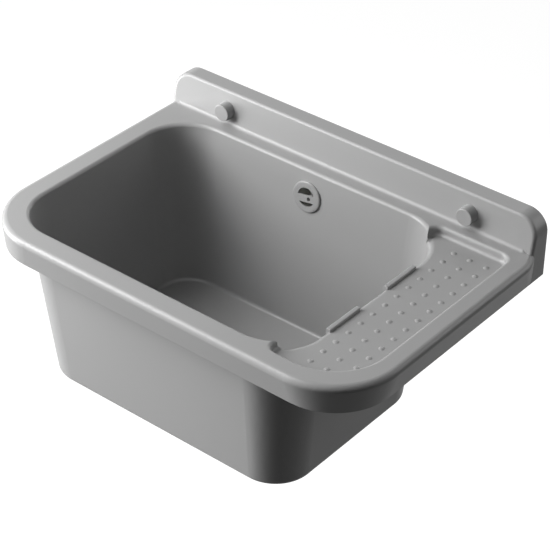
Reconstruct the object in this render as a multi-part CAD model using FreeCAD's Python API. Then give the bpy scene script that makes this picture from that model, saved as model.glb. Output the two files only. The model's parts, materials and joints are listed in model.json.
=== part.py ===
import FreeCAD, Part
import math
import os

# A wall-hung utility sink moulded in plastic, with its fixings, overflow and waste.
# Millimetres. X runs to the right, Y runs back to the wall and Z runs up.
# The origin lies on the wall, halfway between the two fixing screws.

# Moulded basin: overall sizes
overall_width = 614.5
rim_beyond_strip = 10.5
overall_depth = 420.5
wall = 4.0
screws_above_rim = 20.0
apron_height = 45.0
apron_front_lean = 10.6
rim_corner_radius = 95.0
rim_corner_low = 82.0
shoulder_radius = 60.0
shoulder_low = 36.0
rim_edge_round = 7.5

# Raised back strip
upstand_height = 47.6
upstand_depth = 32.0
upstand_lean = 8.0
upstand_corner_radius = 28.0
upstand_edge_round = 5.0
upstand_foot_round = 6.0
web_thickness = 2.5
web_count = 9
web_below_rim = 14.0

# Bowl
rim_left = 34.0
rim_front = 34.2
rim_back = 21.5
rim_right = 29.3
bowl_depth = 244.0
bowl_taper = 5.7
bowl_corner_top = 66.0
bowl_corner_bottom = 50.0
bowl_edge_round = 5.0
bowl_bottom_round = 7.0
floor_edge_round = 6.0
floor_drop = 7.0
floor_flat = 100.0
floor_corner = 8.0

# Draining ledge
ledge_width = 90.2
ledge_depth = 13.0
ledge_overlap = 25.0
ledge_beyond_front = 4.0
ledge_beyond_back = 2.5
ledge_left_corner = 12.0
ledge_front_corner = 75.0
ledge_back_corner = 15.0
ledge_edge_round = 5.0
ledge_bowl_round = 8.0
ledge_foot_round = 5.0
lip_width = 7.0
lip_overhang = 1.5
lip_height = 4.2
lip_bowl_round = 2.2
lip_ledge_round = 1.2
lip_end_round = 0.8
lip_length = 59.5
lip_gap = 55.0
nub_diameter = 8.0
nub_height = 1.3
nub_pitch_across = 24.7
nub_pitch_along = 24.2
nub_first = 20.4
nub_clear = 6.0

# Wall fixings
screw_inset = 99.0
screw_diameter = 8.0
screw_shank_diameter = 7.2
screw_length = 55.0
screw_chamfer = 1.0
head_flats = 13.0
head_height = 5.3
washer_diameter = 16.0
washer_thickness = 1.6
bush_flange = 2.0
bush_wall = 1.8
boss_proud = 0.3
cap_diameter = 24.5
cap_wall = 1.5
cap_round = 1.2
cap_head_room = 0.6

# Overflow
overflow_below_rim = 39.5
rosette_diameter = 45.5
rosette_edge = 2.7
rosette_height = 3.2
rosette_round = 1.8
rosette_flat = 39.0
rosette_plate = 2.2
rosette_turn = 8.0
slot_diameter = 27.5
cross_bar = 10.5
bar_drop = 2.2
screw_aside = 4.5
hub_depth = 7.0
hub_wall = 1.6
collar_margin = 5.0
collar_wall = 1.8
overflow_screw_diameter = 3.0
overflow_screw_head = 5.4
overflow_head_height = 2.0
overflow_screw_sunk = 5.6
overflow_screw_length = 18.0
overflow_gasket_thickness = 2.0
chamber_gap = 1.3
chamber_depth = 22.0
chamber_flange = 3.0
chamber_wall = 2.2
post_diameter = 9.0
pilot_spare = 1.0
spigot_length = 26.0

# Overflow pipe and its joints
pipe_diameter = 20.0
pipe_wall = 2.0
pipe_bend = 45.0
pipe_insert = 12.0
spigot_wall = 3.0
seal_thickness = 3.0
nut_wall = 4.0
nut_height = 18.0
nut_lip = 3.0
nut_lobes = 8
nut_lobe_diameter = 4.0

# Waste in the floor of the bowl
drain_hole = 46.0
dish_diameter = 74.0
dish_depth = 2.5
drain_boss_diameter = 90.0
drain_boss_depth = 8.0
gasket_diameter = 70.0
top_gasket_thickness = 1.5
bottom_gasket_thickness = 3.0
strainer_sheet = 1.2
strainer_depth = 20.0
strainer_hole = 6.0
strainer_hole_count = 8
strainer_hole_circle = 26.0
waste_screw_diameter = 6.0
waste_screw_head = 12.0
waste_screw_head_height = 3.0
body_flange_diameter = 78.0
body_flange = 4.0
body_wall = 3.0
body_depth = 45.0
inlet_below_flange = 24.0
inlet_reach = 26.0
spider_height = 6.0
spider_bar = 6.0
spider_hub = 14.0
outlet_diameter = 47.8
outlet_wall = 4.0
outlet_length = 24.0
thread_pitch = 2.3
thread_depth = 1.2

# Drain plug
plug_flange_diameter = 56.0
plug_flange = 3.0
plug_depth = 9.0
plug_taper = 1.2
plug_grip_diameter = 15.0
plug_grip_waist = 9.0
plug_grip_height = 16.0

# Clearances
fit = 0.15
running_fit = 0.35

# Heights and places worked out from the sizes above
strip_width = overall_width - rim_beyond_strip
half_strip = strip_width / 2
right_edge = half_strip + rim_beyond_strip
screw_spacing = strip_width - 2 * screw_inset
rim_z = -screws_above_rim
apron_z = rim_z - apron_height
ledge_z = rim_z - ledge_depth
upstand_z = rim_z + upstand_height
lean_angle = math.atan2(upstand_lean, upstand_height)
taper_slope = math.tan(math.radians(bowl_taper))
bowl_left = -half_strip + rim_left
bowl_right = right_edge - rim_right - ledge_width
bowl_front = -overall_depth + rim_front
bowl_back = -upstand_depth - rim_back
bowl_x = (bowl_left + bowl_right) / 2
bowl_y = (bowl_front + bowl_back) / 2
floor_edge_z = rim_z - bowl_depth
floor_z = floor_edge_z - floor_drop
under_floor_z = floor_z - drain_boss_depth
lip_x = bowl_right - ledge_depth * taper_slope
ledge_left = bowl_right - ledge_overlap
ledge_right = right_edge - rim_right
ledge_front = bowl_front - ledge_beyond_front
ledge_back = bowl_back + ledge_beyond_back
boss_low_z = -cap_diameter / 2
boss_stand = upstand_depth - (boss_low_z - rim_z) * upstand_lean / upstand_height + boss_proud
screw_seat = boss_stand + bush_flange + washer_thickness
cap_length = bush_flange + washer_thickness + head_height + cap_head_room + cap_wall
cap_inner = cap_diameter - 2 * cap_wall
collar_diameter = slot_diameter + 2 * collar_margin
overflow_screw_top = rosette_height - overflow_screw_sunk
hub_diameter = overflow_screw_head + 2 * (fit + hub_wall)
chamber_diameter = collar_diameter + 2 * (chamber_gap + chamber_wall)
spigot_diameter = pipe_diameter + 2 * (fit + spigot_wall)
cup_diameter = drain_hole - 2 * running_fit
strainer_z = floor_z - dish_depth + top_gasket_thickness
body_z = under_floor_z - bottom_gasket_thickness
barrel_z = body_z - body_flange - body_depth
floor_run = (bowl_back - bowl_front - floor_flat) / 2 - bowl_depth * taper_slope

# How far a cutter runs past what it cuts, and how near counts as the same place
beyond = 40.0
tolerance = 0.01

UP = FreeCAD.Vector(0, 0, 1)
DOWN = FreeCAD.Vector(0, 0, -1)
BACK = FreeCAD.Vector(0, 1, 0)
FRONT = FreeCAD.Vector(0, -1, 0)
RIGHT = FreeCAD.Vector(1, 0, 0)


def point(x, y, z):
    return FreeCAD.Vector(x, y, z)


def block(x_range, y_range, z_range):
    """Box between two limits on each axis."""
    corner = point(x_range[0], y_range[0], z_range[0])
    return Part.makeBox(x_range[1] - x_range[0], y_range[1] - y_range[0], z_range[1] - z_range[0], corner)


def cylinder(diameter, start, axis, length):
    """Round bar that runs from start along an axis."""
    return Part.makeCylinder(diameter / 2, length, start, axis)


def tube(outer, inner, start, axis, length):
    """Round bar with a bore right through it."""
    return cylinder(outer, start, axis, length).cut(cylinder(inner, start, axis, length))


def turned(profile, start=point(0, 0, 0)):
    """Solid turned about an upright axis from (radius, height) points."""
    corners = [point(radius, 0, height) for radius, height in profile]
    face = Part.Face(Part.makePolygon(corners + corners[:1]))
    solid = face.revolve(point(0, 0, 0), UP, 360)
    solid.translate(start)
    return solid


def rounded_outline(x_range, y_range, z, radii):
    """Level outline with corner radii front left, front right, back right, back left."""
    corners = [
        (x_range[0], y_range[0], 1, 0, 0, 1),
        (x_range[1], y_range[0], 0, 1, -1, 0),
        (x_range[1], y_range[1], -1, 0, 0, -1),
        (x_range[0], y_range[1], 0, -1, 1, 0),
    ]
    arcs = []
    for (x, y, next_x, next_y, last_x, last_y), radius in zip(corners, radii):
        start = point(x + last_x * radius, y + last_y * radius, z)
        end = point(x + next_x * radius, y + next_y * radius, z)
        centre = point(x + (next_x + last_x) * radius, y + (next_y + last_y) * radius, z)
        inward = (point(x, y, z) - centre).normalize() if radius > 0 else point(0, 0, 0)
        arcs.append((start, centre + inward * radius, end, radius))
    edges = []
    for index, (start, middle, end, radius) in enumerate(arcs):
        if radius > 0:
            edges.append(Part.Arc(start, middle, end).toShape())
        edges.append(Part.makeLine(end, arcs[(index + 1) % len(arcs)][0]))
    return Part.Wire(edges)


def upright(outline, height):
    """Prism that stands on a level outline."""
    return Part.Face(outline).extrude(UP * height)


def edges_at(solid, z, keep=lambda edge: True):
    """Level edges of a solid at height z."""
    level = []
    for edge in solid.Edges:
        box = edge.BoundBox
        if abs(box.ZMin - z) < tolerance and abs(box.ZMax - z) < tolerance and keep(edge):
            level.append(edge)
    return level


def rounded_mouth(solid, z, radius, depth):
    """What a cutter takes away to round the upper edge of its own hole, in a slab that ends at z."""
    reach = solid.BoundBox
    reach.enlarge(beyond)
    slab = block((reach.XMin, reach.XMax), (reach.YMin, reach.YMax), (z - depth, z))
    holed = slab.cut(solid)
    near_hole = solid.BoundBox
    near_hole.enlarge(beyond / 2)
    hole_edges = edges_at(holed, z, lambda edge: near_hole.isInside(edge.BoundBox.Center))
    return slab.cut(holed.makeFillet(radius, hole_edges))


def join(first, others):
    """One solid out of several, with no seams left between faces in one plane."""
    return first.fuse(others).removeSplitter()


# Basin
def bowl_outline(z, grow):
    """Outline of the tapered bowl at height z, moved outwards by a wall."""
    inset = (rim_z - z) * taper_slope - grow
    radius = bowl_corner_top + (bowl_corner_bottom - bowl_corner_top) * (rim_z - z) / bowl_depth + grow
    return rounded_outline(
        (bowl_left + inset, bowl_right - inset),
        (bowl_front + inset, bowl_back - inset),
        z,
        [radius] * 4,
    )


def floor_outline(z, grow):
    """Outline of the level middle of the floor, moved outwards by a wall."""
    inset = bowl_depth * taper_slope + floor_run - grow
    return rounded_outline(
        (bowl_left + inset, bowl_right - inset),
        (bowl_front + inset, bowl_back - inset),
        z,
        [floor_corner + grow] * 4,
    )


def bowl_form(top_z, grow, bottom_round):
    """Tapered bowl with its shallow hipped floor, from outside or, with no growth, from inside."""
    edge_z = floor_edge_z - grow
    sections = [floor_outline(floor_z - grow, grow), bowl_outline(edge_z, grow), bowl_outline(top_z, grow)]
    form = Part.makeLoft(sections, True, True)
    return form.makeFillet(bottom_round, edges_at(form, edge_z))


def ledge_outline(z, grow):
    return rounded_outline(
        (ledge_left - grow, ledge_right + grow),
        (ledge_front - grow, ledge_back + grow),
        z,
        [
            ledge_left_corner + grow,
            ledge_front_corner + grow,
            ledge_back_corner + grow,
            ledge_left_corner + grow,
        ],
    )


def upstand_form(inset):
    """Back strip with its leaning front and rounded top corners, moved inwards by a wall."""
    front = -upstand_depth + inset / math.cos(lean_angle)
    top = upstand_z - inset
    side = [
        point(0, 0, apron_z),
        point(0, front, apron_z),
        point(0, front, rim_z),
        point(0, front + (top - rim_z) * math.tan(lean_angle), top),
        point(0, 0, top),
    ]
    profile = Part.Face(Part.makePolygon(side + side[:1]))
    profile.translate(point(-half_strip, 0, 0))
    strip = profile.extrude(RIGHT * strip_width)
    radius = upstand_corner_radius - inset
    end = half_strip - inset
    left_turn = Part.Arc(
        point(-end, 0, top - radius),
        point(-end + radius - radius * math.sqrt(0.5), 0, top - radius + radius * math.sqrt(0.5)),
        point(-end + radius, 0, top),
    )
    right_turn = Part.Arc(
        point(end - radius, 0, top),
        point(end - radius + radius * math.sqrt(0.5), 0, top - radius + radius * math.sqrt(0.5)),
        point(end, 0, top - radius),
    )
    outline = Part.Wire([
        Part.makeLine(point(-end, 0, apron_z), point(-end, 0, top - radius)),
        left_turn.toShape(),
        Part.makeLine(point(-end + radius, 0, top), point(end - radius, 0, top)),
        right_turn.toShape(),
        Part.makeLine(point(end, 0, top - radius), point(end, 0, apron_z)),
        Part.makeLine(point(end, 0, apron_z), point(-end, 0, apron_z)),
    ])
    return strip.common(Part.Face(outline).extrude(FRONT * upstand_depth))


def upstand_solid():
    """Back strip with its front edge rounded all round above the rim."""
    strip = upstand_form(0)
    front_edges = []
    for edge in strip.Edges:
        box = edge.BoundBox
        on_front = box.YMax < -upstand_depth + upstand_lean + tolerance
        if on_front and box.ZMin > rim_z - tolerance and box.ZMax > rim_z + tolerance:
            front_edges.append(edge)
    return strip.makeFillet(upstand_edge_round, front_edges)


def foot_round():
    """Hollow round where the back strip meets the rim. It turns into the strip at both ends."""
    radius = upstand_foot_round
    centre_y = -upstand_depth + radius * math.tan(lean_angle) - radius / math.cos(lean_angle)
    toe = point(0, centre_y, rim_z)
    heel = point(0, centre_y + radius * math.cos(lean_angle), rim_z + radius - radius * math.sin(lean_angle))
    half_turn = (math.pi / 2 - lean_angle) / 2
    middle = point(0, centre_y + radius * math.sin(half_turn), rim_z + radius - radius * math.cos(half_turn))
    inside = -upstand_depth + wall / 2
    edges = [
        Part.Arc(toe, middle, heel).toShape(),
        Part.makeLine(heel, point(0, inside, heel.z)),
        Part.makeLine(point(0, inside, heel.z), point(0, inside, rim_z - wall / 2)),
        Part.makeLine(point(0, inside, rim_z - wall / 2), point(0, toe.y, rim_z - wall / 2)),
        Part.makeLine(point(0, toe.y, rim_z - wall / 2), toe),
    ]
    profile = Part.Face(Part.Wire(edges))
    half_length = half_strip - rim_edge_round - (inside - toe.y)
    profile.translate(point(-half_length, 0, 0))
    left_end = profile.revolve(point(-half_length, inside, 0), UP, -90)
    straight = profile.extrude(RIGHT * 2 * half_length)
    right_end = left_end.mirror(point(0, 0, 0), RIGHT)
    return join(straight, [left_end, right_end])


def rim_outline(z, inset):
    """Outline of the rim and its apron at height z. The front and the right side lean in below the edge."""
    share = (rim_z - rim_edge_round - z) / (apron_height - rim_edge_round)
    radius = rim_corner_radius + (rim_corner_low - rim_corner_radius) * share - inset
    shoulder = shoulder_radius + (shoulder_low - shoulder_radius) * share - inset
    front = -overall_depth + apron_front_lean * share + inset
    left = -half_strip + inset
    right = right_edge - rim_beyond_strip * share - inset
    return rounded_outline((left, right), (front, -inset), z, [radius, radius, shoulder, 0])


def rim_block(low_z, top_z, inset, edge_round):
    """Solid of the rim and its apron, with its upper edge rounded along the front and the sides."""
    form = Part.makeLoft([rim_outline(low_z, inset), rim_outline(top_z, inset)], True, True)
    off_wall = edges_at(form, top_z, lambda edge: edge.BoundBox.YMin < -upstand_depth)
    return form.makeFillet(edge_round, off_wall)


def rim_shell():
    """Rim, hanging apron and back strip as one hollow shell, open below and at the wall."""
    rim = rim_block(apron_z, rim_z, 0, rim_edge_round)
    hollow = rim_block(apron_z - wall, rim_z - wall, wall, rim_edge_round / 2)
    strip_hollow = upstand_form(wall).fuse(block(
        (-half_strip + wall, half_strip - wall), (-upstand_depth + wall, 0), (apron_z - beyond, apron_z)
    ))
    shell = join(join(rim, [upstand_solid()]), [foot_round()])
    return shell.cut([hollow, strip_hollow])


def screw_places():
    return [("left", -screw_spacing / 2), ("right", screw_spacing / 2)]


def strip_webs():
    """Upright webs inside the back strip, between its two ends."""
    form = upstand_form(wall / 2)
    gap = strip_width / (web_count + 1)
    webs = []
    for index in range(web_count):
        x = -half_strip + gap * (index + 1)
        slice_block = block(
            (x - web_thickness / 2, x + web_thickness / 2),
            (-upstand_depth, 0),
            (rim_z - web_below_rim, upstand_z),
        )
        webs.append(form.common(slice_block))
    return webs


def lips():
    """Two raised lips along the bowl edge, with a gap between them."""
    left = lip_x - lip_overhang
    right = left + lip_width
    top = ledge_z + lip_height
    bar = block((left, right), (0, lip_length), (ledge_z - ledge_bowl_round, top))
    bowl_side = edges_at(bar, top, lambda edge: edge.BoundBox.XMax < left + tolerance)
    bar = bar.makeFillet(lip_bowl_round, bowl_side)
    ledge_side = edges_at(bar, top, lambda edge: edge.BoundBox.XMin > right - tolerance)
    bar = bar.makeFillet(lip_ledge_round, ledge_side)
    ends = [edge for edge in bar.Edges if edge.BoundBox.YLength < tolerance and edge.BoundBox.ZMax > ledge_z]
    bar = bar.makeFillet(lip_end_round, ends)
    front_lip = bar.copy()
    front_lip.translate(point(0, bowl_y - lip_gap / 2 - lip_length, 0))
    back_lip = bar.copy()
    back_lip.translate(point(0, bowl_y + lip_gap / 2, 0))
    return [front_lip, back_lip]


def nub_places():
    """Grid places on the ledge that clear its walls, the bowl and the lips."""
    pocket = ledge_outline(ledge_z, 0)
    opening = bowl_outline(ledge_z, lip_width)
    pocket_face = Part.Face(pocket)
    opening_face = Part.Face(opening)
    columns = int((ledge_width + ledge_overlap - nub_first) / nub_pitch_across) + 1
    rows = int((bowl_back - bowl_front) / 2 / nub_pitch_along)
    places = []
    for column in range(columns):
        for row in range(-rows, rows + 1):
            place = point(
                ledge_right - nub_first - column * nub_pitch_across, bowl_y + row * nub_pitch_along, ledge_z
            )
            spot = Part.Vertex(place)
            in_pocket = pocket_face.isInside(place, tolerance, True)
            in_opening = opening_face.isInside(place, tolerance, True)
            clear = min(spot.distToShape(pocket)[0], spot.distToShape(opening)[0])
            if in_pocket and not in_opening and clear > nub_clear:
                places.append(place)
    return places


def nubs():
    """Low round bumps on the ledge."""
    rise = nub_height
    half = nub_diameter / 2
    ball = (half * half + rise * rise) / (2 * rise)
    middle = math.asin(half / ball) / 2
    crown = Part.Arc(
        point(half, 0, 0),
        point(ball * math.sin(middle), 0, rise - ball + ball * math.cos(middle)),
        point(0, 0, rise),
    )
    root = -wall / 2
    face = Part.Face(Part.Wire([
        crown.toShape(),
        Part.makeLine(point(0, 0, rise), point(0, 0, root)),
        Part.makeLine(point(0, 0, root), point(half, 0, root)),
        Part.makeLine(point(half, 0, root), point(half, 0, 0)),
    ]))
    bump = face.revolve(point(0, 0, 0), UP, 360)
    bumps = []
    for place in nub_places():
        copy = bump.copy()
        copy.translate(place)
        bumps.append(copy)
    return bumps


def overflow_place():
    """Frame on the inner face of the back wall, with its Z axis pointing into the bowl."""
    drop = overflow_below_rim
    seat = point(bowl_x, bowl_back - drop * taper_slope, rim_z - drop)
    into_bowl = point(0, -math.cos(math.radians(bowl_taper)), math.sin(math.radians(bowl_taper)))
    return FreeCAD.Placement(seat, FreeCAD.Rotation(UP, into_bowl))


def at_overflow(solid):
    placed = solid.copy()
    placed.Placement = overflow_place().multiply(solid.Placement)
    return placed


def waste_place(z):
    """Point at height z on the axis of the waste."""
    return point(bowl_x, bowl_y, z)


def basin():
    """Moulded basin: rim, apron, back strip, ledge and bowl in one piece."""
    boss_hole = screw_diameter + 2 * bush_wall + 2 * fit
    bosses = []
    boss_holes = []
    for _, x in screw_places():
        bosses.append(cylinder(cap_diameter, point(x, 0, 0), FRONT, boss_stand))
        boss_holes.append(cylinder(boss_hole, point(x, 0, 0), FRONT, boss_stand))
    drain_boss = cylinder(drain_boss_diameter, waste_place(under_floor_z), UP, drain_boss_depth - wall / 2)
    ledge_block = upright(ledge_outline(ledge_z - wall, wall), ledge_depth + wall / 2)
    bowl_block = bowl_form(rim_z - wall / 2, wall, bowl_bottom_round)
    body = join(rim_shell(), [bowl_block, ledge_block, drain_boss] + bosses + strip_webs())

    pocket = upright(ledge_outline(ledge_z, 0), ledge_depth + beyond)
    pocket = pocket.makeFillet(ledge_foot_round, edges_at(pocket, ledge_z))
    cavity = bowl_form(rim_z + beyond, 0, floor_edge_round)
    pocket_mouth = rounded_mouth(pocket, rim_z, ledge_edge_round, ledge_depth / 2)
    bowl_mouth = rounded_mouth(cavity, rim_z, bowl_edge_round, ledge_depth)
    ledge_mouth = rounded_mouth(cavity, ledge_z, ledge_bowl_round, ledge_depth)
    over_ledge = upright(ledge_outline(ledge_z - ledge_depth, 0), ledge_depth)
    body = body.cut([pocket, pocket_mouth, cavity, bowl_mouth, ledge_mouth.common(over_ledge)])
    body = join(body, lips() + nubs())

    dish = cylinder(dish_diameter, waste_place(floor_z - dish_depth), UP, dish_depth + floor_drop)
    drain = cylinder(drain_hole, waste_place(under_floor_z), UP, drain_boss_depth)
    overflow_hole = at_overflow(cylinder(collar_diameter + 2 * fit, point(0, 0, -beyond / 2), UP, beyond))
    return body.cut([dish, drain, overflow_hole] + boss_holes).removeSplitter()


# Wall fixings
def hexagon(flats, start, axis_length):
    """Hexagon bar that runs towards the front."""
    radius = flats / math.sqrt(3)
    corners = []
    for index in range(6):
        angle = math.radians(60 * index)
        corners.append(point(start.x + radius * math.cos(angle), start.y, start.z + radius * math.sin(angle)))
    return Part.Face(Part.makePolygon(corners + corners[:1])).extrude(FRONT * axis_length)


def bush(x):
    """Plastic sleeve that lines a fixing hole, with a flange that the cap pushes over."""
    sleeve = cylinder(screw_diameter + 2 * bush_wall, point(x, 0, 0), FRONT, boss_stand)
    flange = cylinder(cap_inner - 2 * running_fit, point(x, -boss_stand, 0), FRONT, bush_flange)
    bore = cylinder(screw_diameter + 2 * fit, point(x, 0, 0), FRONT, boss_stand + bush_flange)
    return sleeve.fuse(flange).cut(bore).removeSplitter()


def washer(x):
    """Flat washer between the bush and the screw head."""
    start = point(x, -boss_stand - bush_flange, 0)
    return tube(washer_diameter, screw_diameter + 2 * fit, start, FRONT, washer_thickness)


def wall_screw(x):
    """Hexagon head screw with a thinner shank, whose chamfered thread stands out behind the basin."""
    seat = point(x, -screw_seat, 0)
    wall_face = point(x, 0, 0)
    thread_length = screw_length - screw_seat - screw_chamfer
    shank = cylinder(screw_shank_diameter, seat, BACK, screw_seat)
    thread = cylinder(screw_diameter, wall_face, BACK, thread_length)
    end_radius = screw_diameter / 2 - screw_chamfer
    tip = Part.makeCone(screw_diameter / 2, end_radius, screw_chamfer, wall_face + BACK * thread_length, BACK)
    head = hexagon(head_flats, seat, head_height)
    return head.fuse([shank, thread, tip]).removeSplitter()


def cap(x):
    """Round cap that hides a screw head."""
    start = point(x, -boss_stand, 0)
    shell = cylinder(cap_diameter, start, FRONT, cap_length)
    face_edges = [edge for edge in shell.Edges if edge.BoundBox.YMax < -boss_stand - cap_length / 2]
    shell = shell.makeFillet(cap_round, face_edges)
    return shell.cut(cylinder(cap_inner, start, FRONT, cap_length - cap_wall))


# Overflow
def screw_spot(height):
    """Point on the axis of the overflow screw, which stands to the right on the turned bar of the cover."""
    turn = math.radians(rosette_turn)
    x = screw_aside * math.cos(turn) + bar_drop * math.sin(turn)
    y = screw_aside * math.sin(turn) - bar_drop * math.cos(turn)
    return point(x, y, height)


def overflow_rosette():
    """Round cover of the overflow: a thin face with a bar between two slots, a collar and a screw hub."""
    edge = rosette_diameter / 2
    flat = rosette_flat / 2
    collar = collar_diameter / 2
    inside = collar - collar_wall
    plate_back = rosette_height - rosette_plate
    disc = turned([
        (0, plate_back), (inside, plate_back), (inside, -wall), (collar, -wall), (collar, 0), (edge, 0),
        (edge, rosette_edge), (flat, rosette_height), (0, rosette_height),
    ])
    disc = disc.makeFillet(rosette_round, edges_at(disc, rosette_edge))
    slots = cylinder(slot_diameter, point(0, 0, plate_back), UP, rosette_plate)
    bar_low = -bar_drop - cross_bar / 2
    slots = slots.cut(block((-edge, edge), (bar_low, bar_low + cross_bar), (plate_back, rosette_height)))
    cover = disc.cut(slots)
    cover.rotate(point(0, 0, 0), UP, rosette_turn)
    thickness = rosette_height + hub_depth
    hub = cylinder(hub_diameter, screw_spot(-hub_depth), UP, thickness - rosette_plate / 2)
    hole = cylinder(overflow_screw_diameter + 2 * fit, screw_spot(-hub_depth), UP, thickness)
    seat = screw_spot(overflow_screw_top - overflow_head_height)
    recess = cylinder(overflow_screw_head + 2 * fit, seat, UP, overflow_head_height + overflow_screw_sunk)
    return at_overflow(cover.fuse(hub).cut([hole, recess]).removeSplitter())


def overflow_screw():
    """Round-headed screw, sunk in the hub, that pulls the cover and the chamber together."""
    head = overflow_screw_head / 2
    shank = overflow_screw_diameter / 2
    top = overflow_screw_top
    under = top - overflow_head_height
    low = top - overflow_screw_length
    screw = turned([(0, low), (shank, low), (shank, under), (head, under), (head, top), (0, top)])
    slot_width = overflow_screw_diameter / 4
    slot = block((-head, head), (-slot_width / 2, slot_width / 2), (top - slot_width, top))
    screw = screw.cut(slot)
    screw.translate(screw_spot(0))
    return at_overflow(screw)


def overflow_gasket():
    """Rubber ring between the bowl and the overflow chamber."""
    start = point(0, 0, -wall - overflow_gasket_thickness)
    ring = tube(rosette_diameter, collar_diameter + 2 * fit, start, UP, overflow_gasket_thickness)
    return at_overflow(ring)


def chamber_middle():
    """Middle of the overflow chamber, where its outlet branches off."""
    depth = wall + overflow_gasket_thickness + chamber_flange + chamber_depth / 2
    return overflow_place().multVec(point(0, 0, -depth))


def spigot_reach():
    """Length of the overflow outlet below the middle of its chamber."""
    return chamber_diameter / 2 + spigot_length


def overflow_body():
    """Chamber behind the bowl, with a post for the screw and an outlet that points down."""
    seat = -wall - overflow_gasket_thickness
    flange_back = seat - chamber_flange
    back = flange_back - chamber_depth
    outer = cylinder(chamber_diameter, point(0, 0, back), UP, chamber_depth)
    flange = cylinder(rosette_diameter, point(0, 0, flange_back), UP, chamber_flange)
    inner_diameter = chamber_diameter - 2 * chamber_wall
    inner = cylinder(inner_diameter, point(0, 0, back + chamber_wall), UP, chamber_depth - chamber_wall)
    mouth = cylinder(collar_diameter, point(0, 0, flange_back), UP, chamber_flange)
    post = cylinder(post_diameter, screw_spot(back), UP, -hub_depth - back)
    pilot_length = overflow_screw_length + pilot_spare
    pilot_start = screw_spot(overflow_screw_top - pilot_length)
    pilot = cylinder(overflow_screw_diameter + 2 * fit, pilot_start, UP, pilot_length)
    middle = chamber_middle()
    length = spigot_reach()
    spigot = cylinder(spigot_diameter, middle, DOWN, length)
    bore = cylinder(pipe_diameter - 2 * pipe_wall, middle, DOWN, length)
    socket = cylinder(pipe_diameter + 2 * fit, middle + DOWN * (length - pipe_insert), DOWN, pipe_insert)
    hollow = at_overflow(inner.fuse(mouth)).fuse([bore, socket])
    body = at_overflow(outer.fuse(flange)).fuse(spigot).cut(hollow)
    return body.fuse(at_overflow(post)).cut(at_overflow(pilot)).removeSplitter()


def pipe_ends():
    """Where the pipe enters the overflow outlet and the waste inlet."""
    upper = chamber_middle() + DOWN * (spigot_reach() - pipe_insert)
    lower = point(bowl_x, bowl_y + drain_hole / 2 + inlet_reach - pipe_insert, body_z - inlet_below_flange)
    return upper, lower


def overflow_pipe():
    """Rigid pipe that runs down behind the bowl and forward to the waste."""
    upper, lower = pipe_ends()
    bend_top = point(upper.x, upper.y, lower.z + pipe_bend)
    bend_end = point(upper.x, upper.y - pipe_bend, lower.z)
    turn = pipe_bend * (1 - math.sqrt(0.5))
    bend_middle = point(upper.x, upper.y - turn, lower.z + turn)
    route = Part.Wire([
        Part.makeLine(upper, bend_top),
        Part.Arc(bend_top, bend_middle, bend_end).toShape(),
        Part.makeLine(bend_end, lower),
    ])
    outer = Part.Wire(Part.makeCircle(pipe_diameter / 2, upper, DOWN))
    inner = Part.Wire(Part.makeCircle(pipe_diameter / 2 - pipe_wall, upper, DOWN))
    return route.makePipeShell([outer], True, False).cut(route.makePipeShell([inner], True, False))


def pipe_seal(start, axis):
    """Flat rubber ring round the pipe, against the end of a spigot."""
    return tube(spigot_diameter, pipe_diameter + 2 * fit, start, axis, seal_thickness)


def pipe_nut(start, axis):
    """Ribbed nut over a spigot that ends at start, with a lip under the seal."""
    outer = spigot_diameter + 2 * (fit + nut_wall)
    base = start + axis * (seal_thickness + nut_lip)
    ring = cylinder(outer, base, axis * -1, nut_height)
    side = axis.cross(RIGHT)
    lobes = []
    for index in range(nut_lobes):
        angle = math.radians(360 / nut_lobes * index)
        spoke = RIGHT * math.cos(angle) + side * math.sin(angle)
        lobes.append(cylinder(nut_lobe_diameter, base + spoke * (outer / 2), axis * -1, nut_height))
    spigot_bore = cylinder(spigot_diameter + 2 * fit, start + axis * seal_thickness, axis * -1, nut_height)
    pipe_bore = cylinder(pipe_diameter + 2 * fit, base, axis * -1, nut_height)
    return ring.fuse(lobes).cut([spigot_bore, pipe_bore]).removeSplitter()


# Waste
def top_gasket():
    """Rubber ring under the strainer flange."""
    return tube(gasket_diameter, drain_hole, waste_place(floor_z - dish_depth), UP, top_gasket_thickness)


def waste_strainer():
    """Pressed metal dish with a ring of holes in its bottom."""
    cup = cup_diameter / 2
    flange = gasket_diameter / 2
    sheet = strainer_sheet
    dish = turned([
        (0, -strainer_depth), (cup, -strainer_depth), (cup, 0), (flange, 0), (flange, sheet),
        (cup - sheet, sheet), (cup - sheet, sheet - strainer_depth), (0, sheet - strainer_depth),
    ])
    holes = [cylinder(waste_screw_diameter + 2 * fit, point(0, 0, -strainer_depth), UP, sheet)]
    for index in range(strainer_hole_count):
        angle = math.radians(360 / strainer_hole_count * index)
        spot = point(math.cos(angle), math.sin(angle), 0) * (strainer_hole_circle / 2)
        holes.append(cylinder(strainer_hole, spot + DOWN * strainer_depth, UP, sheet))
    dish = dish.cut(holes)
    dish.translate(waste_place(strainer_z))
    return dish


def waste_screw():
    """Screw that clamps the strainer to the spider of the waste body."""
    seat = strainer_z - strainer_depth + strainer_sheet
    top = seat + waste_screw_head_height
    shank = waste_screw_diameter / 2
    head = waste_screw_head / 2
    screw = turned(
        [(0, barrel_z), (shank, barrel_z), (shank, seat), (head, seat), (head, top), (0, top)], waste_place(0)
    )
    slot = block(
        (bowl_x - head, bowl_x + head),
        (bowl_y - strainer_sheet / 2, bowl_y + strainer_sheet / 2),
        (seat + waste_screw_head_height / 2, top),
    )
    return screw.cut(slot)


def bottom_gasket():
    """Rubber ring between the floor of the bowl and the waste body."""
    start = waste_place(under_floor_z)
    return tube(body_flange_diameter, drain_hole, start, DOWN, bottom_gasket_thickness)


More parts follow.
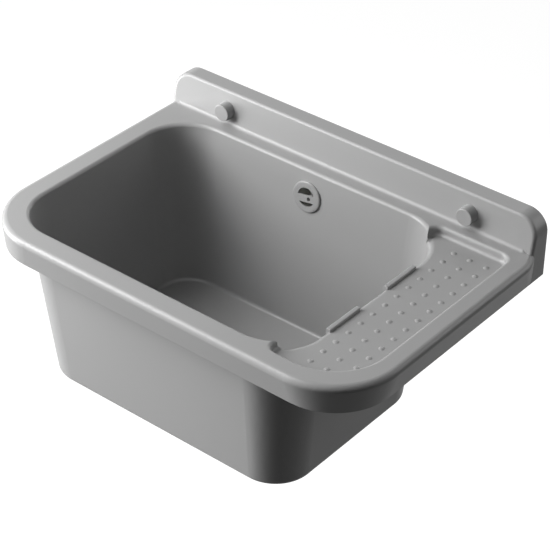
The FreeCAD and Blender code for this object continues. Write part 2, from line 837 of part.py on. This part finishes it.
def outlet_profile(shoulder_z, outlet_z):
    """Points down the outside of the outlet, with the flat-topped ridges of its thread."""
    crest = outlet_diameter / 2
    root = crest - thread_depth
    step = thread_pitch / 4
    z = shoulder_z - thread_pitch
    points = [(crest, shoulder_z), (crest, z)]
    while z - thread_pitch > outlet_z:
        points += [(root, z - step), (root, z - 2 * step), (crest, z - 3 * step), (crest, z - thread_pitch)]
        z -= thread_pitch
    return points + [(root, outlet_z)]


def waste_body():
    """Waste body with its clamping flange, overflow inlet, screw spider and threaded outlet."""
    barrel = drain_hole / 2 + body_wall
    flange = body_flange_diameter / 2
    under_flange_z = body_z - body_flange
    shoulder_z = barrel_z - body_wall
    outlet_z = shoulder_z - outlet_length
    profile = [(0, body_z), (flange, body_z), (flange, under_flange_z), (barrel, under_flange_z)]
    profile += [(barrel, shoulder_z)] + outlet_profile(shoulder_z, outlet_z) + [(0, outlet_z)]
    _, lower = pipe_ends()
    inlet_start = waste_place(lower.z)
    inlet_length = drain_hole / 2 + inlet_reach
    inlet = cylinder(spigot_diameter, inlet_start, BACK, inlet_length)
    bores = [
        cylinder(drain_hole, waste_place(barrel_z), UP, body_depth + body_flange),
        cylinder(outlet_diameter - 2 * outlet_wall, waste_place(outlet_z), UP, outlet_length + body_wall),
        cylinder(pipe_diameter - 2 * pipe_wall, inlet_start, BACK, inlet_length),
        cylinder(pipe_diameter + 2 * fit, lower, BACK, pipe_insert),
    ]
    body = turned(profile, waste_place(0)).fuse(inlet).cut(bores)
    spider = [cylinder(spider_hub, waste_place(barrel_z), UP, spider_height)]
    reach = barrel - body_wall / 2
    for half_x, half_y in [(reach, spider_bar / 2), (spider_bar / 2, reach)]:
        x_range = (bowl_x - half_x, bowl_x + half_x)
        y_range = (bowl_y - half_y, bowl_y + half_y)
        spider.append(block(x_range, y_range, (barrel_z, barrel_z + spider_height)))
    screw_hole = cylinder(waste_screw_diameter + 2 * fit, waste_place(barrel_z), UP, spider_height)
    return body.fuse(spider).cut(screw_hole).removeSplitter()


def drain_plug():
    """Rubber stopper with a waisted finger grip."""
    seat = strainer_z + strainer_sheet
    shoulder = cup_diameter / 2 - strainer_sheet - running_fit
    edge = plug_flange_diameter / 2
    grip = plug_grip_diameter / 2
    waist = plug_grip_waist / 2
    top = plug_flange + plug_grip_height
    neck = plug_flange + plug_grip_height / 4
    crown = plug_flange + plug_grip_height * 3 / 4
    return turned([
        (0, -plug_depth), (shoulder - plug_taper, -plug_depth), (shoulder, 0), (edge, 0),
        (edge - plug_flange / 3, plug_flange * 2 / 3), (grip, plug_flange), (waist, neck),
        (grip, crown), (grip * 3 / 4, top), (0, top),
    ], waste_place(seat))


def main():
    os.makedirs("parts", exist_ok=True)
    upper, lower = pipe_ends()
    spigot_end = upper + DOWN * pipe_insert
    inlet_end = lower + BACK * pipe_insert
    pieces = {
        "basin": basin(),
        "overflow_rosette": overflow_rosette(),
        "overflow_screw": overflow_screw(),
        "overflow_gasket": overflow_gasket(),
        "overflow_body": overflow_body(),
        "overflow_pipe": overflow_pipe(),
        "upper_pipe_seal": pipe_seal(spigot_end, DOWN),
        "upper_pipe_nut": pipe_nut(spigot_end, DOWN),
        "lower_pipe_seal": pipe_seal(inlet_end, BACK),
        "lower_pipe_nut": pipe_nut(inlet_end, BACK),
        "top_gasket": top_gasket(),
        "waste_strainer": waste_strainer(),
        "waste_screw": waste_screw(),
        "bottom_gasket": bottom_gasket(),
        "waste_body": waste_body(),
        "drain_plug": drain_plug(),
    }
    for side, x in screw_places():
        pieces[side + "_bush"] = bush(x)
        pieces[side + "_washer"] = washer(x)
        pieces[side + "_wall_screw"] = wall_screw(x)
        pieces[side + "_cap"] = cap(x)
    for name, solid in pieces.items():
        solid.exportStep("parts/" + name + ".step")
        print(name, len(solid.Solids), solid.isValid(), round(solid.Volume / 1000, 2))


main()
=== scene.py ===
# %% [markdown]
# # A wall-hung utility sink, dressed for a studio picture
# The sink is one large plastic moulding with a deep bowl, a studded draining ledge and a raised back
# strip. Small fittings are screwed into it: the overflow, the waste and the wall screws under their caps.
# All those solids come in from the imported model, in metres, and they stay where they are. This lesson
# adds what a solid model can't hold: the camera, the light, the finish of each material, and a few
# pieces whose form is finer than the solids, such as screw threads.

import json
import math

import bpy
import numpy as np
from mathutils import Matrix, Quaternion, Vector


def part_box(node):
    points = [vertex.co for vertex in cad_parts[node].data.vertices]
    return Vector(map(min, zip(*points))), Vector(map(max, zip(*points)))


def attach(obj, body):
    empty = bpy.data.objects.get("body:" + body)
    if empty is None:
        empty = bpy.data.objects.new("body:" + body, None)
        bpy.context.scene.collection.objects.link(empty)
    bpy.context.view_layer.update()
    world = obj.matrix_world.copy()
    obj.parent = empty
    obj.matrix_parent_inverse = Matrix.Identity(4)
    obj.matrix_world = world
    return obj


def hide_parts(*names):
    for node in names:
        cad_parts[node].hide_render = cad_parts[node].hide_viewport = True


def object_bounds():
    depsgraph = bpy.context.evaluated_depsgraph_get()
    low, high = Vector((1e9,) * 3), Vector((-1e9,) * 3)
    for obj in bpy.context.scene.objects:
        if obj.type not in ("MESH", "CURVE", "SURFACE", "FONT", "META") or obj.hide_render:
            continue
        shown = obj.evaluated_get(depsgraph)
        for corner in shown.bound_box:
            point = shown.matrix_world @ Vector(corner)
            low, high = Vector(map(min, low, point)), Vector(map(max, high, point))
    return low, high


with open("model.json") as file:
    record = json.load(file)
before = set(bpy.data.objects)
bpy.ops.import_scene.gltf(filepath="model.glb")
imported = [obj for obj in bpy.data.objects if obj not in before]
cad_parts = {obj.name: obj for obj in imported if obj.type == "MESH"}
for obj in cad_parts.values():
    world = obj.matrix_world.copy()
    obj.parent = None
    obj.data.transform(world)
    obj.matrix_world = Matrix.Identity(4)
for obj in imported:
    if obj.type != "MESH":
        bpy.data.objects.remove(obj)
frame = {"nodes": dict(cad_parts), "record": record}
cad_low, cad_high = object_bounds()
print("nodes:", len(frame["nodes"]), "box:", tuple(cad_low), tuple(cad_high))

# %% [markdown]
# ## The camera
# The picture was taken from the front right, well above the rim. A camera can be aimed by eye, but here
# its place was worked out from the straight edges of the sink, so it is written down as a position, two
# angles and a small roll. A long lens keeps the far edges nearly as large as the near ones.

# %% Camera at the photograph's angle
camera_place = Vector((1.3337, -1.8041, 1.3675))
camera_azimuth = math.radians(39.23)
camera_elevation = math.radians(35.03)
camera_roll = math.radians(0.44)
lens_mm = 128.4


def outward(azimuth, elevation):
    """Direction from the sink to a place; the azimuth is counted from the front towards the right."""
    level = math.cos(elevation)
    return Vector((math.sin(azimuth) * level, -math.cos(azimuth) * level, math.sin(elevation)))


towards_camera = outward(camera_azimuth, camera_elevation)
camera_data = bpy.data.cameras.new("camera")
camera_data.lens = lens_mm
camera = bpy.data.objects.new("camera", camera_data)
camera.location = camera_place
camera.rotation_mode = "QUATERNION"
camera.rotation_quaternion = (-towards_camera).to_track_quat("-Z", "Y") @ Quaternion((0, 0, 1), camera_roll)
bpy.context.scene.collection.objects.link(camera)
bpy.context.scene.camera = camera
print("camera looks along", tuple(-towards_camera))

# %% [markdown]
# ## Shader maths in Python
# A material in Blender is a net of nodes. Long nets are hard to read, so this small class lets a line of
# Python stand for them: a Signal is one output of a node, and `1 - mask` adds the Math node that works
# it out. Every other node comes from the one method `node`, settings first and sockets after.


# %% A socket that takes part in sums
class Signal:
    """One output socket in a node tree, with operators that add Math nodes."""

    def __init__(self, tree, socket=None):
        self.tree = tree
        self.socket = socket

    def node(self, kind, settings=None, sockets=None, output=0):
        """Adds a node of a kind, sets it up, fills its sockets with values or links, and gives an output."""
        made = self.tree.nodes.new(kind)
        for name, value in (settings or {}).items():
            setattr(made, name, value)
        for name, value in (sockets or {}).items():
            if isinstance(value, Signal):
                self.tree.links.new(value.socket, made.inputs[name])
            else:
                made.inputs[name].default_value = value
        return Signal(self.tree, made.outputs[output] if made.outputs else None)

    def maths(self, operation, first, second=0.0):
        return self.node("ShaderNodeMath", {"operation": operation}, {0: first, 1: second})

    def __add__(self, other):
        return self.maths("ADD", self, other)

    def __radd__(self, other):
        return self.maths("ADD", other, self)

    def __sub__(self, other):
        return self.maths("SUBTRACT", self, other)

    def __rsub__(self, other):
        return self.maths("SUBTRACT", other, self)

    def __mul__(self, other):
        return self.maths("MULTIPLY", self, other)

    def __rmul__(self, other):
        return self.maths("MULTIPLY", other, self)


def new_tree(name):
    """An empty material and a Signal that adds nodes to it."""
    material = bpy.data.materials.new(name)
    material.use_nodes = True
    material.node_tree.nodes.clear()
    return material, Signal(material.node_tree)


def show(start, surface):
    """Links a shader to the material's output."""
    start.node("ShaderNodeOutputMaterial", sockets={"Surface": surface})


print("shader maths ready")

# %% [markdown]
# ## The studio
# The sink hangs on a wall, so the floor lies as far below it as in a real room. The background of a
# product picture is white, but it mustn't light the sink, or every shadow would fill up. So the world and
# the floor are white only to rays that come from the camera or off a shiny surface, and stay dim to the
# soft light that bounces about. A share of plain diffuse paint on the floor keeps the shadow. In a glossy
# surface the floor shows as pale grey, because in a real studio it is dimmer than the lit backdrop.

# %% Floor and world
top_above_floor = 0.9
floor_half = 30.0
bounce_level = 0.04
shadow_share = 0.2
lit_paint = 0.35
floor_paint = (0.9, 0.9, 0.9, 1.0)
dim_paint = (0.05, 0.05, 0.05, 1.0)
white = (1.0, 1.0, 1.0, 1.0)
floor_in_gloss = 0.42


def seen_directly(start, in_gloss):
    """1 for rays from the camera or through glass, in_gloss off a shiny surface and 0 for other rays."""
    camera_ray = start.node("ShaderNodeLightPath", output="Is Camera Ray")
    glossy_ray = start.node("ShaderNodeLightPath", output="Is Glossy Ray")
    clear_ray = start.node("ShaderNodeLightPath", output="Is Transmission Ray")
    return start.maths("MINIMUM", camera_ray + in_gloss * glossy_ray + clear_ray, 1.0)


def white_world():
    """World that is white to the eye and dim as a light."""
    world = bpy.data.worlds.new("studio")
    world.use_nodes = True
    world.node_tree.nodes.clear()
    start = Signal(world.node_tree)
    strength = bounce_level + seen_directly(start, 1.0) * (1.0 - bounce_level)
    light = start.node("ShaderNodeBackground", sockets={"Color": white, "Strength": strength})
    start.node("ShaderNodeOutputWorld", sockets={"Surface": light})
    return world


def floor_finish():
    """Floor that looks white with a faint shadow, and that throws little light back."""
    material, start = new_tree("studio_floor")
    glow_level = (1.0 - shadow_share * lit_paint) / (1.0 - shadow_share)
    glow = start.node("ShaderNodeEmission", sockets={"Color": white, "Strength": glow_level})
    paint = start.node("ShaderNodeBsdfDiffuse", sockets={"Color": floor_paint})
    dim = start.node("ShaderNodeBsdfDiffuse", sockets={"Color": dim_paint})
    pale = start.node("ShaderNodeMixShader", sockets={0: shadow_share, 1: glow, 2: paint})
    seen = seen_directly(start, floor_in_gloss)
    show(start, start.node("ShaderNodeMixShader", sockets={0: seen, 1: dim, 2: pale}))
    return material


floor_z = cad_high[2] - top_above_floor
floor_mesh = bpy.data.meshes.new("floor")
floor_corners = floor_half * np.array([(-1, -1, 0), (1, -1, 0), (1, 1, 0), (-1, 1, 0)], float)
floor_corners[:, 2] = floor_z
floor_mesh.from_pydata(floor_corners.tolist(), [], [(0, 1, 2, 3)])
floor_mesh.materials.append(floor_finish())
floor = bpy.data.objects.new("floor", floor_mesh)
bpy.context.scene.collection.objects.link(floor)
bpy.context.scene.world = white_world()
bpy.context.scene.view_settings.view_transform = "Standard"
print("floor at", round(floor_z, 3))

# %% [markdown]
# ## The light
# In the photograph the light comes from the left of the camera: a large soft source stands low at the
# side, and two more hang in front and above. They brighten the faces that look up, forwards or left, leave
# the faces that turn right in shade, and draw a bright line along each rounded edge between up and front.
# A weak lamp behind on the right lightens the shaded end of the strip and the right edge of the rim, and
# one at the wall side, level with the sink, only serves views from there.

# %% Soft lamps
sink_middle = Vector((-0.03, -0.21, -0.08))
size_share = 0.5
# Azimuth from the front towards the right, elevation, distance in metres, watts
studio_lamps = {
    "side_softbox": (-65.0, -4.0, 2.6, 72.0),
    "front_softbox": (-48.0, 26.0, 1.7, 31.0),
    "upper_softbox": (-50.0, 55.0, 2.6, 34.0),
    "back_lamp": (138.0, 20.0, 2.0, 6.2),
    "wall_side_lamp": (-172.0, 3.0, 1.7, 15.0),
}


def soft_light(name, direction, distance, size, watts):
    """Square area light that points at the middle of the sink."""
    data = bpy.data.lights.new(name, "AREA")
    data.energy = watts
    data.size = size
    lamp = bpy.data.objects.new(name, data)
    lamp.location = sink_middle + direction * distance
    lamp.rotation_mode = "QUATERNION"
    lamp.rotation_quaternion = direction.to_track_quat("Z", "Y")
    lamp.visible_camera = False
    bpy.context.scene.collection.objects.link(lamp)


for name, (azimuth, elevation, distance, watts) in studio_lamps.items():
    direction = outward(math.radians(azimuth), math.radians(elevation))
    soft_light(name, direction, distance, size_share * distance, watts)
print("lamps:", ", ".join(studio_lamps))

# %% [markdown]
# ## Patterns that finishes share
# Real surfaces are never one even colour. Noise of several sizes stands for what happens in a mould or on
# a machine: slow drifts, small blotches and a fine grain. All of it is read in object coordinates, which
# for these pieces are metres in the sink's own frame, so a pattern keeps its real size. A scale is the
# number of features in a metre.

# %% Noise and mixing of colours
no_detail = 0.0
fine_detail = 3.0


def object_place(start):
    """Where a point lies on the piece, in metres."""
    return start.node("ShaderNodeTexCoord", output="Object")


def noise(start, place, scale, detail=2.0):
    """Grey noise around 0.5, with about as many features in a metre as the scale says."""
    return start.node("ShaderNodeTexNoise", sockets={"Vector": place, "Scale": scale, "Detail": detail})


def between(start, mask, first, second):
    """A colour that goes from the first to the second as a mask goes from 0 to 1."""
    return start.node("ShaderNodeMix", {"data_type": "RGBA"}, {0: mask, 6: first, 7: second}, output=2)


def times(colour, factor):
    """A colour made darker or lighter."""
    return tuple(channel * factor for channel in colour[:3]) + (1.0,)


def grained(start, height, strength, depth):
    """Normals of a surface whose fine relief is depth metres high."""
    return start.node("ShaderNodeBump", sockets={"Strength": strength, "Distance": depth, "Height": height})


print("patterns ready")

# %% [markdown]
# ## Moulded plastic
# The basin and the screw caps are polypropylene in one grey, the overflow cover is a harder and glossier
# plastic, and the pipes and nuts under the sink are off-white. All three come out of a mould: satin, with
# a fine spark-eroded grain, a colour that drifts where the melt flowed and a gloss that isn't quite even.
# One function makes them, and its arguments say how glossy and how coarse each one is.

# %% Satin plastics
drift_scale = 5.0
sheen_scale = 22.0
sheen_change = 0.04
grain_depth = 0.0003


def moulded_plastic(name, colour, unevenness, roughness, specular, grain_scale, grain):
    """Moulded plastic: drifting colour, uneven gloss and a fine grain."""
    material, start = new_tree(name)
    place = object_place(start)
    drift = noise(start, place, drift_scale, no_detail)
    sheen = noise(start, place, sheen_scale, no_detail)
    grain_height = noise(start, place, grain_scale, fine_detail)
    darker = times(colour, 1.0 - unevenness)
    lighter = times(colour, 1.0 + unevenness)
    surface = start.node("ShaderNodeBsdfPrincipled", sockets={
        "Base Color": between(start, drift, darker, lighter),
        "Roughness": roughness - sheen_change / 2 + sheen_change * sheen,
        "Specular IOR Level": specular,
        "Normal": grained(start, grain_height, grain, grain_depth),
    })
    show(start, surface)
    return material


finishes = {
    "basin_grey": moulded_plastic(
        "basin_grey", colour=(0.35, 0.35, 0.35, 1.0), unevenness=0.03, roughness=0.30, specular=0.36,
        grain_scale=1500.0, grain=0.04,
    ),
    "rosette_grey": moulded_plastic(
        "rosette_grey", colour=(0.33, 0.33, 0.33, 1.0), unevenness=0.06, roughness=0.24, specular=0.50,
        grain_scale=2200.0, grain=0.05,
    ),
    "pale_plastic": moulded_plastic(
        "pale_plastic", colour=(0.74, 0.74, 0.71, 1.0), unevenness=0.05, roughness=0.38, specular=0.45,
        grain_scale=1100.0, grain=0.14,
    ),
}
print("plastics:", ", ".join(finishes))

# %% [markdown]
# ## Black rubber
# The gaskets, the pipe seals and the drain plug are matt rubber. Rubber blooms: a dusty grey film comes to
# the surface in patches. A second, dusty colour is mixed in where two noises are both high, and the same
# mask makes those patches rougher. Fine pores break up what shine is left.

# %% Matt rubber with a dusty bloom
patch_scale = 45.0
powder_scale = 600.0
powder_detail = 4.0
bloom_cover = 1.6
clean_roughness = 0.5
bloom_roughness = 0.7
rubber_specular = 0.3
pore_strength = 0.25
pore_depth = 0.0002


def dusty_rubber(name, colour, dust):
    """Rubber whose dust lies where a broad and a fine noise are both high."""
    material, start = new_tree(name)
    place = object_place(start)
    patches = noise(start, place, patch_scale)
    powder = noise(start, place, powder_scale, powder_detail)
    bloom = patches * powder
    surface = start.node("ShaderNodeBsdfPrincipled", sockets={
        "Base Color": between(start, bloom_cover * bloom, colour, dust),
        "Roughness": clean_roughness + bloom_roughness * bloom,
        "Specular IOR Level": rubber_specular,
        "Normal": grained(start, powder, pore_strength, pore_depth),
    })
    show(start, surface)
    return material


finishes["black_rubber"] = dusty_rubber(
    "black_rubber", colour=(0.014, 0.014, 0.015, 1.0), dust=(0.06, 0.059, 0.057, 1.0)
)
print("rubber:", finishes["black_rubber"].name)

# %% [markdown]
# ## Stainless steel
# The strainer was spun and its screw turned, so both carry fine rings around the drain's axis. A Mapping
# node puts the middle of the pattern on that axis, the length of what is left across the axis is the
# radius, and noise along that one number gives rings. They show as thin changes of roughness and as a
# relief that spreads the highlights across the rings. The small overflow screw has its own axis.

# %% Turned steel
dark_steel = (0.50, 0.50, 0.49, 1.0)
light_steel = (0.68, 0.68, 0.66, 1.0)
ring_scale = 2600.0
stain_scale = 60.0
ring_share = 0.6
steel_roughness = 0.10
ring_roughness = 0.12
stain_roughness = 0.06
ring_strength = 0.15
ring_depth = 0.0001


def turned_steel(name, node, across):
    """Steel with rings around the middle of a node; across picks the two axes of the radius."""
    material, start = new_tree(name)
    low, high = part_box(node)
    middle = [(first + second) / 2 for first, second in zip(low, high)]
    place = object_place(start)
    shift = [-value for value in middle]
    centred = start.node("ShaderNodeMapping", sockets={"Vector": place, "Location": shift})
    flattened = start.node("ShaderNodeVectorMath", {"operation": "MULTIPLY"}, {0: centred, 1: across})
    radius = start.node("ShaderNodeVectorMath", {"operation": "LENGTH"}, {0: flattened}, output="Value")
    rings = start.node(
        "ShaderNodeTexNoise", {"noise_dimensions": "1D"},
        {"W": radius, "Scale": ring_scale, "Detail": fine_detail},
    )
    stain = noise(start, place, stain_scale)
    mask = ring_share * rings + (1.0 - ring_share) * stain
    surface = start.node("ShaderNodeBsdfPrincipled", sockets={
        "Base Color": between(start, mask, dark_steel, light_steel),
        "Metallic": 1.0,
        "Roughness": steel_roughness + ring_roughness * rings + stain_roughness * stain,
        "Normal": grained(start, rings, ring_strength, ring_depth),
    })
    show(start, surface)
    return material


finishes["stainless"] = turned_steel("stainless", "waste_strainer", (1.0, 1.0, 0.0))
own_finishes = {"overflow_screw": turned_steel("overflow_screw_steel", "overflow_screw", (1.0, 0.0, 1.0))}
print("steel:", finishes["stainless"].name)

# %% [markdown]
# ## Zinc plate
# The wall screws and washers are steel with bright zinc. Under a clear passivation the plate is cool and
# bluish in some places and faintly straw-coloured in others, and it has fine pits from the acid bath.

# %% Bright zinc
tint_scale = 180.0
tint_contrast = 2.2
pit_scale = 2400.0
zinc_roughness = 0.26
pit_roughness = 0.12
tint_roughness = 0.06
pit_strength = 0.12
pit_depth = 0.00012


def bright_zinc(name, cool, warm):
    """Plated steel whose tint wanders between two greys."""
    material, start = new_tree(name)
    place = object_place(start)
    tint = noise(start, place, tint_scale, fine_detail)
    pits = noise(start, place, pit_scale, fine_detail)
    tint_mask = tint_contrast * tint + (1.0 - tint_contrast) / 2
    surface = start.node("ShaderNodeBsdfPrincipled", sockets={
        "Base Color": between(start, tint_mask, cool, warm),
        "Metallic": 1.0,
        "Roughness": zinc_roughness + pit_roughness * pits + tint_roughness * tint,
        "Normal": grained(start, pits, pit_strength, pit_depth),
    })
    show(start, surface)
    return material


finishes["zinc_steel"] = bright_zinc(
    "zinc_steel", cool=(0.52, 0.56, 0.62, 1.0), warm=(0.66, 0.63, 0.54, 1.0)
)
print("zinc:", finishes["zinc_steel"].name)

# %% [markdown]
# ## Finishes on the solids
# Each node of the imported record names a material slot. The finish of that slot takes the place of the
# plain colour that came in with the solid.

# %% Hand out the finishes
for row in frame["record"]["subparts"]:
    node = frame["nodes"][row["node"]]
    node.data.materials.clear()
    node.data.materials.append(own_finishes.get(row["node"], finishes[row["material_slot"]]))

# %% [markdown]
# ## A skin over rings of points
# The next pieces are turned or nearly turned: each is a stack of closed rings with a point at both ends.
# Blender could screw or lathe a profile, but a thread and a hexagon need a radius that changes around the
# axis. So numpy works out a whole array of points, one row for each ring, and one function lays quads
# between the rows and a fan of triangles over each end.


# %% Rings to a closed mesh
sharp_angle = math.radians(35)


def ring_skin(name, rings, first_end, last_end, finish):
    """Closed mesh over an array of rings, shape (rows, around, 3), with a fan to a point at both ends."""
    rows, around, _ = rings.shape
    points = np.vstack([first_end, rings.reshape(-1, 3), last_end])
    index = 1 + np.arange(rows * around).reshape(rows, around)
    turn = np.roll(index, -1, axis=1)
    quads = np.stack([index[:-1], turn[:-1], turn[1:], index[1:]], axis=-1).reshape(-1, 4)
    first_fan = np.stack([np.zeros(around, int), turn[0], index[0]], axis=-1)
    last_fan = np.stack([np.full(around, len(points) - 1), index[-1], turn[-1]], axis=-1)
    mesh = bpy.data.meshes.new(name)
    mesh.from_pydata(points.tolist(), [], quads.tolist() + first_fan.tolist() + last_fan.tolist())
    mesh.polygons.foreach_set("use_smooth", np.ones(len(mesh.polygons), bool))
    mesh.set_sharp_from_angle(angle=sharp_angle)
    mesh.materials.append(finish)
    piece = bpy.data.objects.new(name, mesh)
    bpy.context.scene.collection.objects.link(piece)
    return piece


print("skins ready")

# %% [markdown]
# ## Threaded wall screws
# The solids end in plain cylinders where the real screws have a thread. Here the radius of each point
# follows the height of the thread at its angle and its place along the axis, so one grid holds the
# chamfered hexagon head, the plain shank and the helix. A bump in the material would look flat from the
# side, and a separate coil of thread would leave a seam along the shank.

# %% Screws with a real helix
millimetre = 0.001
head_flats = 13.0 * millimetre
head_height = 5.3 * millimetre
head_face_share = 0.95
head_chamfer = math.radians(30)
shank_radius = 3.6 * millimetre
thread_radius = 4.0 * millimetre
thread_pitch = 1.25 * millimetre
thread_depth = 0.77 * millimetre
crest_half = 1 / 16
flank_share = 5 / 16
run_out = 1.5 * millimetre
tip_chamfer = 1.0 * millimetre
steps_around = 96
steps_per_turn = 12

angle = np.linspace(0, 2 * np.pi, steps_around, endpoint=False)
sixth = np.pi / 3
hexagon_radius = head_flats / 2 / np.cos((angle + sixth / 2) % sixth - sixth / 2)
face_radius = head_face_share * head_flats / 2


def thread_height(along):
    """Height of a thread, 0 to 1, by how far turns and pitches are from a crest, cut flat at both ends."""
    from_crest = np.abs((along / thread_pitch - angle / (2 * np.pi)) % 1 - 0.5)
    return np.clip((crest_half + flank_share - from_crest) / flank_share, 0, 1)


def wall_screw(name, node):
    """Rings from the face of the head, over its chamfer and flats, down the shank to the thread's tip."""
    low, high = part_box(node)
    middle_x = (low[0] + high[0]) / 2
    middle_z = (low[2] + high[2]) / 2
    even = np.ones(steps_around)
    seat = low[1] + head_height
    along = np.linspace(0, high[1], int(steps_per_turn * high[1] / thread_pitch))[:, None]
    cut = thread_radius - thread_depth * (1 - thread_height(along))
    begun = np.clip(along / run_out, 0, 1)
    radius_of_thread = np.minimum(
        shank_radius + (cut - shank_radius) * begun, thread_radius - tip_chamfer + high[1] - along
    )
    head_rows = [face_radius * even, hexagon_radius, hexagon_radius, shank_radius * even]
    radius = np.vstack(head_rows + [radius_of_thread])
    chamfer_end = low[1] + (hexagon_radius - face_radius) * math.tan(head_chamfer)
    place = np.vstack([low[1] * even, chamfer_end, seat * even, seat * even, along * even])
    rings = np.stack([middle_x + radius * np.sin(angle), place, middle_z + radius * np.cos(angle)], axis=-1)
    ends = [(middle_x, low[1], middle_z), (middle_x, high[1], middle_z)]
    screw = ring_skin(name, rings, ends[0], ends[1], finishes["zinc_steel"])
    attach(screw, "basin")
    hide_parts(node)
    return screw


screws = [wall_screw(side + "_threaded_screw", side + "_wall_screw") for side in ("left", "right")]
print("screw faces:", [len(screw.data.polygons) for screw in screws])

# %% [markdown]
# ## The drain plug
# A rubber stopper comes out of its mould with every edge soft. The solid has the same profile with sharp
# corners. Here each corner is eased by a short curve, and a raised ring stiffens the flange. The profile is
# a list of corners, each with the length over which it is eased, and turning it about the drain's axis
# gives the rings.

# %% Rubber plug with soft edges
plug_depth = 9.0
# Radius and height above the strainer, and the length over which the corner is eased, in millimetres
plug_corners = np.array([
    (6.0, -9.0, 0.5), (19.9, -9.0, 1.6), (21.1, 0.0, 0.4), (28.0, 0.0, 0.6), (27.0, 2.0, 0.9),
    (22.6, 2.25, 0.4), (22.0, 2.95, 0.4), (20.4, 3.0, 0.4), (19.8, 2.4, 0.4), (8.0, 2.95, 1.6),
    (4.5, 7.0, 2.4), (7.5, 14.5, 2.6), (5.8, 18.9, 1.6), (2.0, 19.0, 0.5),
])
curve_steps = 7


def eased(corners):
    """Profile whose corners are parabolas: (1-s)^2 start + 2s(1-s) corner + s^2 end, for s from 0 to 1."""
    places = corners[:, :2]
    before = np.roll(places, 1, axis=0) - places
    after = np.roll(places, -1, axis=0) - places
    before[0] = -after[0]
    after[-1] = -before[-1]
    reach = corners[:, 2:]
    start = (places + reach * before / np.linalg.norm(before, axis=1, keepdims=True))[:, None]
    end = (places + reach * after / np.linalg.norm(after, axis=1, keepdims=True))[:, None]
    s = np.linspace(0, 1, curve_steps)[None, :, None]
    curve = (1 - s) ** 2 * start + 2 * s * (1 - s) * places[:, None] + s ** 2 * end
    return curve.reshape(-1, 2)


plug_low, plug_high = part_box("drain_plug")
plug_x = (plug_low[0] + plug_high[0]) / 2
plug_y = (plug_low[1] + plug_high[1]) / 2
plug_profile = eased(plug_corners) * millimetre
plug_radius = plug_profile[:, :1]
plug_height = plug_low[2] + plug_depth * millimetre + plug_profile[:, 1:]
plug_rings = np.stack([
    plug_x + plug_radius * np.cos(angle), plug_y + plug_radius * np.sin(angle), plug_height + 0 * angle
], axis=-1)
plug_ends = [(plug_x, plug_y, plug_low[2]), (plug_x, plug_y, plug_high[2])]
plug = ring_skin("rubber_plug", plug_rings, plug_ends[0], plug_ends[1], finishes["black_rubber"])
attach(plug, "drain_plug")
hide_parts("drain_plug")
print("plug faces:", len(plug.data.polygons))
